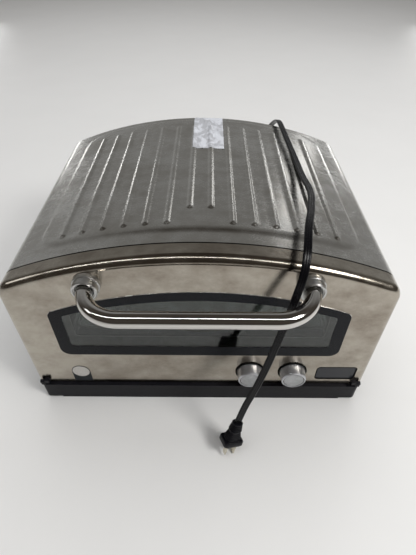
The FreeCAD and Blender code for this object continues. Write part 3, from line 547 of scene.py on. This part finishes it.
def make_plug(materials):
    """A moulded three-pin plug: face flange, ribbed grip and slotted strain relief."""
    sections = [
        (16.0, 13.0, 9.6, 7),
        (16.3, 13.7, 10.2, 7),
        (17.0, 14.0, 10.5, 7),
        (22.6, 13.8, 10.4, 7),
        (23.6, 13.4, 10.0, 6),
        (24.0, 12.6, 9.3, 5),
        (24.2, 11.3, 8.6, 3),
        (25.6, 11.2, 8.5, 2.8),
    ]
    sections += ribs(4, 26.4, 3.1, 11.0, 0.85, 0.80, 2.6, GRIP_GROOVES)
    sections += [(38.6, 8.3, 7.2, 2.4), (39.4, 8.9, 7.6, 2.4)]
    sections += ribs(4, 40.4, 2.5, 8.8, 0.4, 0.86, 2.2, NECK_GROOVES)
    sections += [(50.6, 7.4, 6.4, 2.2), (51.3, 6.9, 5.9, 2.2)]
    bm = bmesh.new()
    skin_rings(bm, stacked(sections, plug_place()))
    plug = mesh_piece("plug_moulding", bm, 32)
    finish_piece(plug, "root", materials["plug_black"])
    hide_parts("plug_body")
    return plug


def make_gland(materials):
    """The tapered strain relief at the rear, with ring slots that let it bend."""
    low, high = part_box("cord_gland")
    centre = (low + high) / 2
    reach = (high.y - low.y) / MM
    backward = Matrix.Rotation(-math.pi / 2, 4, "X")
    to_world = Matrix.Translation((centre.x, low.y, centre.z)) @ backward
    sections = [(0, 7.6, 7.6, 2), (5, 7.6, 7.6, 2), (5.1, 10.4, 10.4, 2), (5.6, 11, 11, 2)]
    sections += [(7.4, 11, 11, 2), (8.0, 10.3, 10.3, 2), (8.2, 8.2, 8.2, 2)]
    sections += ribs(6, 9.6, 3.1, 8.0, 0.38, 1, 2, GLAND_GROOVES)
    sections += [(reach - 1.2, 5.9, 5.9, 2), (reach - 0.4, 5.7, 5.7, 2), (reach, 5.2, 5.2, 2)]
    bm = bmesh.new()
    skin_rings(bm, stacked(sections, to_world))
    gland = mesh_piece("strain_relief", bm, 32)
    finish_piece(gland, "root", materials["plug_black"])
    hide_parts("cord_gland")
    return gland


# ---------------------------------------------------------------- pressed cover
COVER_LOW, COVER_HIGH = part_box("top_cover")
SIDE_BOTTOM = COVER_LOW.z
HALF_WIDTH = COVER_HIGH.x
COVER_BACK = COVER_HIGH.y
CROWN_RADIUS = 597 * MM
SHOULDER_RADIUS = 23.6 * MM
CROWN_Z = 270.4 * MM
BACK_ROLL = 6 * MM
SHEET = 1.2 * MM
FIELD_HALF = 199 * MM
FIELD_FRONT = -118.5 * MM
FIELD_BACK = 203.5 * MM
FIELD_CORNER = 38 * MM
FIELD_RISE = 1.5 * MM
FIELD_SLOPE = 6 * MM
FIELD_SOFT_SLOPE = 15 * MM
FIELD_SOFT_END = -80 * MM
RIB_PITCH = 25.8 * MM
RIB_HALF = 4.74 * MM
RIB_RISE = 2.2 * MM
RIB_FRONT = -102 * MM
RIB_SHORT_FRONT = -70.5 * MM
RIB_BACK = 177.5 * MM
RIBS = 14
RIB_POWER = 1.3
ROLL_STEPS = 8
SHOULDER_STEPS = 10
SIDE_STEPS = 8
REAR_FLANGE = 11 * MM
# The crown's arc runs into each shoulder's arc at CROWN_SPREAD from upright, and the shoulder
# into the straight side; both places are arc lengths from the crown.
CROWN_SPREAD = math.asin((HALF_WIDTH - SHOULDER_RADIUS) / (CROWN_RADIUS - SHOULDER_RADIUS))
CROWN_END = CROWN_RADIUS * CROWN_SPREAD
TURN_END = CROWN_END + SHOULDER_RADIUS * (math.pi / 2 - CROWN_SPREAD)
HUB_X = HALF_WIDTH - SHOULDER_RADIUS
HUB_Z = CROWN_Z - CROWN_RADIUS + (CROWN_RADIUS - SHOULDER_RADIUS) * math.cos(CROWN_SPREAD)


def section_point(along, inset=0.0):
    """A point and outward normal of the casing's section; 'along' is the arc length from
    the crown, positive to the right. Past the shoulder the section drops straight down."""
    sign = math.copysign(1, along)
    far = abs(along)
    if far <= CROWN_END:
        angle = far / CROWN_RADIUS
        x, z = CROWN_RADIUS * math.sin(angle), CROWN_Z - CROWN_RADIUS * (1 - math.cos(angle))
    elif far <= TURN_END:
        angle = CROWN_SPREAD + (far - CROWN_END) / SHOULDER_RADIUS
        x, z = HUB_X + SHOULDER_RADIUS * math.sin(angle), HUB_Z + SHOULDER_RADIUS * math.cos(angle)
    else:
        angle = math.pi / 2
        x, z = HALF_WIDTH, HUB_Z - (far - TURN_END)
    nx, nz = sign * math.sin(angle), math.cos(angle)
    return Vector((sign * x - nx * inset, 0, z - nz * inset)), Vector((nx, 0, nz))


def smooth(value):
    """An even rise from 0 to 1 that starts and ends level."""
    value = min(max(value, 0), 1)
    return value * value * (3 - 2 * value)


def field_depth(x, y):
    """Distance inward from the edge of the pressed field, negative outside it."""
    mid_y = (FIELD_FRONT + FIELD_BACK) / 2
    over_x = abs(x) - (FIELD_HALF - FIELD_CORNER)
    over_y = abs(y - mid_y) - ((FIELD_BACK - FIELD_FRONT) / 2 - FIELD_CORNER)
    outside = math.hypot(max(over_x, 0), max(over_y, 0))
    return FIELD_CORNER - outside - min(max(over_x, over_y), 0)


def field_lift(x, y):
    """Height of the pressed field: a crisp step at the sides and back, softer in front."""
    front = smooth((FIELD_SOFT_END - y) / (FIELD_SOFT_END - FIELD_FRONT))
    inward = smooth((FIELD_HALF - abs(x)) / FIELD_CORNER)
    slope = FIELD_SLOPE + (FIELD_SOFT_SLOPE - FIELD_SLOPE) * front * inward
    return FIELD_RISE * smooth(field_depth(x, y) / slope)


def rib_arc(k):
    """Arc length from the crown to the middle of rib k, counted from the left."""
    return (k - (RIBS - 1) / 2) * RIB_PITCH


def rib_lift(arc, y):
    """Height of the rib bead at an arc length across the crown and a depth y."""
    k = min(max(round(arc / RIB_PITCH + (RIBS - 1) / 2), 0), RIBS - 1)
    across = arc - rib_arc(k)
    front = RIB_SHORT_FRONT if k in (RIBS // 2 - 1, RIBS // 2) else RIB_FRONT
    beyond = max(front + RIB_HALF - y, y - (RIB_BACK - RIB_HALF), 0)
    reach = math.hypot(across, beyond) / RIB_HALF
    if reach >= 1:
        return 0.0
    return RIB_RISE * math.cos(reach * math.pi / 2) ** RIB_POWER


def steps(places, half, fine, start, end, coarse):
    """Coordinates from start to end: fine near the given places, coarse between them."""
    values = {round(start, 6), round(end, 6)}
    count = round(2 * half / fine)
    for place in places:
        for k in range(count + 1):
            value = place - half + k * fine
            if start < value < end:
                values.add(round(value, 6))
    ordered = sorted(values)
    filled = []
    for low, high in zip(ordered, ordered[1:]):
        parts = max(1, math.ceil((high - low) / coarse))
        filled += [low + (high - low) * k / parts for k in range(parts)]
    return filled + [ordered[-1]]


def cover_arcs():
    """Arc lengths across the casing, close together on the ribs and the field's edges."""
    ribs_at = [rib_arc(k) for k in range(RIBS)]
    field_at = CROWN_RADIUS * math.asin((FIELD_HALF - FIELD_SLOPE / 2) / CROWN_RADIUS)
    middle_arcs = steps(ribs_at, 5.2 * MM, 0.8 * MM, -CROWN_END, CROWN_END, 4 * MM)
    edge_arcs = steps([-field_at, field_at], 7 * MM, 1 * MM, -CROWN_END, CROWN_END, 50 * MM)
    arcs = sorted(set(middle_arcs) | set(edge_arcs))
    arcs = [arc for k, arc in enumerate(arcs) if k == 0 or arc - arcs[k - 1] > 0.25 * MM]
    foot = TURN_END + section_point(TURN_END)[0].z - SIDE_BOTTOM
    tail = []
    for start, end, count in ((CROWN_END, TURN_END, SHOULDER_STEPS), (TURN_END, foot, SIDE_STEPS)):
        tail += [start + (end - start) * k / count for k in range(1, count + 1)]
    return [-arc for arc in reversed(tail)] + arcs + tail


def cover_depths(flat_end):
    """Depths from the front edge to the rear roll, close together at each rise."""
    ends = [FIELD_FRONT + FIELD_SLOPE / 2, RIB_FRONT + 3 * MM, RIB_SHORT_FRONT + 3 * MM]
    ends += [RIB_BACK - 3 * MM, FIELD_BACK - FIELD_SLOPE / 2]
    return steps(ends, 6 * MM, 0.9 * MM, COVER_LOW.y, flat_end, 7 * MM)


def pressed_point(arc, y):
    """A point of the cover's outside with the field and the ribs pressed up."""
    point, normal = section_point(arc)
    lift = 0
    if abs(arc) < CROWN_END:
        lift = field_lift(point.x, y) + rib_lift(arc, y)
    return Vector((point.x, y, point.z)) + normal * lift


def make_cover(materials):
    """The domed sheet with its pressed field, long beads and rolled rear edge."""
    flat_end = COVER_BACK - BACK_ROLL
    arcs = cover_arcs()
    rows = [[pressed_point(arc, y) for arc in arcs] for y in cover_depths(flat_end)]
    for k in range(1, ROLL_STEPS + 1):
        angle = math.pi / 2 * k / ROLL_STEPS
        inset = BACK_ROLL * (1 - math.cos(angle))
        y = flat_end + BACK_ROLL * math.sin(angle)
        rows.append([section_point(arc, inset)[0] + Vector((0, y, 0)) for arc in arcs])
    rows.append([section_point(arc, REAR_FLANGE)[0] + Vector((0, COVER_BACK, 0)) for arc in arcs])
    bm = bmesh.new()
    skin_grid(bm, rows)
    bmesh.ops.recalc_face_normals(bm, faces=bm.faces)
    bmesh.ops.solidify(bm, geom=bm.faces[:], thickness=SHEET)
    cover = mesh_piece("cover_shell", bm, 50)
    finish_piece(cover, "root", materials["top_steel"])
    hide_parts("top_cover")


FILM_FRONT = 92 * MM
FILM_BACK = 214 * MM
FILM_MIDDLE = 9 * MM
FILM_HALF = 24 * MM
FILM_COLUMNS = 48
FILM_ROWS = 96
FILM_GAP = 0.22 * MM
FILM_THICK = 0.08 * MM
CREASE_RISE = 0.9 * MM
CREASE_WIDTH = 0.12
CREASE_AT_RIM = 0.35
CREASES_ACROSS = 95
CREASES_ALONG = 60
CREASE_PATTERN = 3.1
RIM_CELLS = 3


def film_point(column, row):
    """A point of the film: over the ribs, down the rear roll, and raised in creases."""
    y = FILM_FRONT + (FILM_BACK - FILM_FRONT) * row / FILM_ROWS
    arc = FILM_MIDDLE + FILM_HALF * (2 * column / FILM_COLUMNS - 1)
    point, normal = section_point(arc)
    beyond = max(y - (COVER_BACK - BACK_ROLL), 0)
    drop = BACK_ROLL - math.sqrt(max(BACK_ROLL**2 - beyond**2, 0))
    wave = noise.noise(Vector((arc * CREASES_ACROSS, y * CREASES_ALONG, CREASE_PATTERN)))
    crease = max(0, 1 - abs(wave) / CREASE_WIDTH) * CREASE_RISE
    across = min(column, FILM_COLUMNS - column, RIM_CELLS) / RIM_CELLS
    along = min(row, FILM_ROWS - row, RIM_CELLS) / RIM_CELLS
    held = CREASE_AT_RIM + (1 - CREASE_AT_RIM) * across * along
    raised = field_lift(point.x, y) + rib_lift(arc, y) + FILM_GAP + crease * held - drop
    return Vector((point.x, y, point.z)) + normal * raised


def make_film(materials):
    """A strip of protective film left stuck over the rear middle of the cover."""
    columns = range(FILM_COLUMNS + 1)
    bm = bmesh.new()
    skin_grid(bm, [[film_point(c, r) for c in columns] for r in range(FILM_ROWS + 1)])
    sheet = mesh_piece("cover_film", bm, 60)
    thick = sheet.modifiers.new("film", "SOLIDIFY")
    thick.thickness = FILM_THICK
    thick.offset = 1
    finish_piece(sheet, "root", materials["film"])


# ---------------------------------------------------------------- front trim
def swept_loop(name, points, radius, sides=10):
    """A thin round bead along a closed loop of points in the plane of the front."""
    bm = bmesh.new()
    count = len(points)
    rings = []
    for k, here in enumerate(points):
        ahead = (points[(k + 1) % count] - points[k - 1]).normalized()
        across = ahead.cross(Vector((0, 1, 0))).normalized()
        ring = []
        for n in range(sides):
            angle = 2 * math.pi * n / sides
            out = across * radius * math.cos(angle)
            ring.append(here + out + Vector((0, radius * math.sin(angle), 0)))
        rings.append([bm.verts.new(point) for point in ring])
    for k in range(count):
        first, second = rings[k], rings[(k + 1) % count]
        for n in range(sides):
            m = (n + 1) % sides
            bm.faces.new((first[n], first[m], second[m], second[n]))
    return mesh_piece(name, bm, 60)


def rounded_loop(corners, radii, y, arc_points=10):
    """A closed loop through corners in the XZ plane, each rounded by its own radius."""
    points = []
    count = len(corners)
    for k in range(count):
        before, here, after = (Vector(corners[(k + n) % count]) for n in (-1, 0, 1))
        back, on = (before - here).normalized(), (after - here).normalized()
        half = back.angle(on) / 2
        reach = radii[k] / math.tan(half)
        centre = here + (back + on).normalized() * (radii[k] / math.sin(half))
        start, end = here + back * reach - centre, here + on * reach - centre
        for n in range(arc_points + 1):
            spoke = start.slerp(end, n / arc_points, start)
            points.append(centre + spoke.normalized() * radii[k])
    return [Vector((p.x, y, p.y)) for p in points]


FACE_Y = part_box("door_skin")[0].y
WINDOW_BORDER = 16 * MM
WINDOW_UNDER = 18 * MM
WINDOW_CORNER_Z = 183 * MM
WINDOW_TOP_Z = 219.7 * MM
WINDOW_LOW_RADIUS = 13.2 * MM
WINDOW_HIGH_RADIUS = 10.2 * MM
ARCH_RADIUS = 60 * MM
ARCH_STEPS = 28
EDGE_BEAD = 0.65 * MM
DISPLAY_GAP = 0.75 * MM
DISPLAY_CORNER = 5.6 * MM
DISPLAY_BEAD = 1.2 * MM
GROOVE = 1.1 * MM
HOLE_EDGE = 1.6 * MM
LABEL_MARGIN = 0.9 * MM
LABEL_BELOW = 23.2 * MM
LABEL_PROUD = 0.3 * MM
LABEL_GAP = 0.02 * MM


def make_window_edge(materials):
    """The turned steel edge round the arched window opening."""
    glass_low, glass_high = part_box("outer_glass")
    half = glass_high.x + WINDOW_BORDER
    bottom = glass_low.z - WINDOW_UNDER
    rise = WINDOW_TOP_Z - WINDOW_CORNER_Z
    radius = (half**2 + rise**2) / (2 * rise)
    arch = []
    for k in range(1, ARCH_STEPS):
        x = half - 2 * half * k / ARCH_STEPS
        arch.append((x, WINDOW_TOP_Z - radius + math.sqrt(radius**2 - x**2)))
    corners = [(-half, bottom), (half, bottom), (half, WINDOW_CORNER_Z)]
    corners += arch + [(-half, WINDOW_CORNER_Z)]
    radii = [WINDOW_LOW_RADIUS, WINDOW_LOW_RADIUS, WINDOW_HIGH_RADIUS]
    radii += [ARCH_RADIUS] * len(arch) + [WINDOW_HIGH_RADIUS]
    edge = swept_loop("window_edge", rounded_loop(corners, radii, FACE_Y + 0.1 * MM, 6), EDGE_BEAD)
    finish_piece(edge, "door", materials["edge_steel"])


def make_display_shade_ring(materials):
    # A near-black ring round the display lens: painted shade of the recess that the lens sits in.
    low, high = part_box("display_lens")
    x0, x1 = low.x - DISPLAY_GAP, high.x + DISPLAY_GAP
    z0, z1 = low.z - DISPLAY_GAP, high.z + DISPLAY_GAP
    corners = [(x0, z0), (x1, z0), (x1, z1), (x0, z1)]
    loop = rounded_loop(corners, [DISPLAY_CORNER] * 4, FACE_Y + 0.9 * MM)
    shade_black = swept_loop("display_shade_ring", loop, DISPLAY_BEAD)
    finish_piece(shade_black, "door", materials["shade_black"])


def ring_points(hub, radius, y, count=64):
    turns = [2 * math.pi * k / count for k in range(count)]
    return [Vector((hub.x + radius * math.cos(t), y, hub.z + radius * math.sin(t))) for t in turns]


def make_knob_shade_rings(side, materials):
    """Black beads that paint shade: one in the groove round the knob's cap, one round its hole in the
    gap between knob and face.
    """
    cap_low, cap_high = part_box("knob_cap_" + side)
    hub = (cap_low + cap_high) / 2
    cap_radius = (cap_high.x - cap_low.x) / 2
    # A black bead in the cap's groove: painted shade of the groove.
    ring = ring_points(hub, cap_radius + GROOVE / 2, cap_low.y + GROOVE)
    groove = swept_loop("knob_groove_shade_" + side, ring, GROOVE / 2)
    finish_piece(groove, "turn_" + side, materials["shade_black"])

    skirt_low, skirt_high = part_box("knob_" + side)
    skirt_radius = (skirt_high.x - skirt_low.x) / 2
    # A black ring at the hole's edge: painted shade of the gap between knob and face.
    rim = ring_points(hub, skirt_radius + HOLE_EDGE, FACE_Y - HOLE_EDGE / 2)
    hole_shade = swept_loop("knob_hole_shade_" + side, rim, HOLE_EDGE / 2)
    finish_piece(hole_shade, "door", materials["shade_black"])


def make_label(materials):
    """A blank label under the badge: straight sides below, rounded above."""
    low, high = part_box("badge_disc")
    centre = (low + high) / 2
    reach = (high.x - low.x) / 2 + LABEL_MARGIN
    foot = centre.z - LABEL_BELOW
    outline = [(centre.x - reach, foot), (centre.x + reach, foot)]
    for k in range(25):
        angle = math.pi * k / 24
        outline.append((centre.x + reach * math.cos(angle), centre.z + reach * math.sin(angle)))
    bm = bmesh.new()
    depths = (FACE_Y - LABEL_PROUD, FACE_Y - LABEL_GAP)
    skin_rings(bm, [[Vector((x, y, z)) for x, z in outline] for y in depths])
    label = mesh_piece("blank_label", bm, 40)
    finish_piece(label, "door", materials["label_print"])


def make_front_trim(materials):
    make_window_edge(materials)
    make_display_shade_ring(materials)
    for side in ("left", "right"):
        make_knob_shade_rings(side, materials)
    make_label(materials)


# ---------------------------------------------------------------- floor and light
def make_floor():
    """A plain pale table top, with a faint unevenness of tone."""
    bpy.ops.mesh.primitive_plane_add(size=8, location=(0, 0, 0))
    floor = bpy.context.object
    floor.name = "floor"
    material = new_material("floor_pale", (0.82, 0.82, 0.815), 0.6, Specular_IOR_Level=0.2)
    soft = grain(material, place_of(material), 6, 4.0, 0.6)
    shade(material, "Base Color", tint(material, soft, (0.80, 0.80, 0.795), (0.84, 0.84, 0.835)))
    floor.data.materials.append(material)


def area_light(name, place, aim, width, height, watts, colour=(1, 1, 1), gloss=True, wash=True):
    """A rectangular lamp: gloss lets metal mirror it, wash lets it light matt surfaces."""
    data = bpy.data.lights.new(name, "AREA")
    data.shape = "RECTANGLE"
    data.size = width
    data.size_y = height
    data.energy = watts
    data.color = colour
    lamp = bpy.data.objects.new(name, data)
    lamp.location = place
    lamp.rotation_euler = (Vector(aim) - Vector(place)).to_track_quat("-Z", "Y").to_euler()
    lamp.visible_glossy = gloss
    lamp.visible_diffuse = wash
    lamp.visible_camera = False
    bpy.context.scene.collection.objects.link(lamp)


WALL_LOW = (0.40, 0.40, 0.395)
WALL_HIGH = (0.27, 0.268, 0.262)
ROOM_DARK = (0.060, 0.052, 0.044)


def world_light():
    """A pale wall far behind the oven, with a dim brown room above, beside and in front."""
    world = bpy.data.worlds.new("studio")
    world.use_nodes = True
    tree = world.node_tree

    def node(kind, inputs):
        made = tree.nodes.new("ShaderNode" + kind)
        for key, value in inputs.items():
            if isinstance(value, bpy.types.NodeSocket):
                tree.links.new(value, made.inputs[key])
            else:
                made.inputs[key].default_value = value
        return made

    where = tree.nodes.new("ShaderNodeTexCoord").outputs["Generated"]
    split = node("SeparateXYZ", {0: where})
    wall = node("ValToRGB", {0: split.outputs["Z"]})
    stops = wall.color_ramp.elements
    stops[0].position, stops[0].color = 0.0, (*WALL_LOW, 1)
    stops[1].position, stops[1].color = 1.0, (*ROOM_DARK, 1)
    for place, colour in ((0.45, WALL_HIGH), (0.66, WALL_HIGH), (0.8, ROOM_DARK)):
        stops.new(place).color = (*colour, 1)
    away = node("MapRange", {"Value": split.outputs["Y"], "From Min": 0.7, "From Max": 0.1})
    away.interpolation_type = "SMOOTHSTEP"
    room = blend_colours(tree, away.outputs["Result"], wall.outputs[0], ROOM_DARK)
    tree.links.new(room, tree.nodes["Background"].inputs["Color"])
    bpy.context.scene.world = world


def make_light():
    """A key from the right front, a strip above the front and a wide soft lamp behind; the
    small lamps behind and at the left make the highlights on the steel and the chrome."""
    aim = Vector((0, 0, 0.15))
    key = aim + Vector((0.62, -0.40, 0.68)).normalized() * 2.2
    area_light("key", key, aim, 0.6, 0.6, 24, (1, 0.985, 0.96))
    area_light("strip", (-0.1, -0.75, 1.75), (0, -0.1, 0.2), 3.4, 0.06, 10, (0.97, 0.985, 1))
    area_light("back_right", (0.95, 1.75, 1.0), (0.12, 0, 0.27), 0.14, 0.8, 0.9)
    for name, side in (("edge_right", 1), ("edge_left", -1)):
        behind = (side * 1.45, 2.3, 0.14)
        area_light(name, behind, (side * 0.2, 0, 0.25), 0.4, 0.16, 1.4, wash=False)
    area_light("left_window", (-1.9, -0.4, 1.3), (-0.1, -0.1, 0.2), 0.5, 0.5, 1.6, wash=False)
    area_light("overhead", (0, 1.3, 2.6), (0, 1.3, 0), 3.0, 3.0, 50, gloss=False)
    world_light()


# ---------------------------------------------------------------- scene
bpy.context.scene.view_settings.view_transform = "Standard"
make_camera()
materials = make_materials()
finish_nodes(materials)
cord, cord_points, cord_length = make_cord(materials)
plug = make_plug(materials)
gland = make_gland(materials)
make_cover(materials)
make_film(materials)
make_front_trim(materials)
make_floor()
make_light()
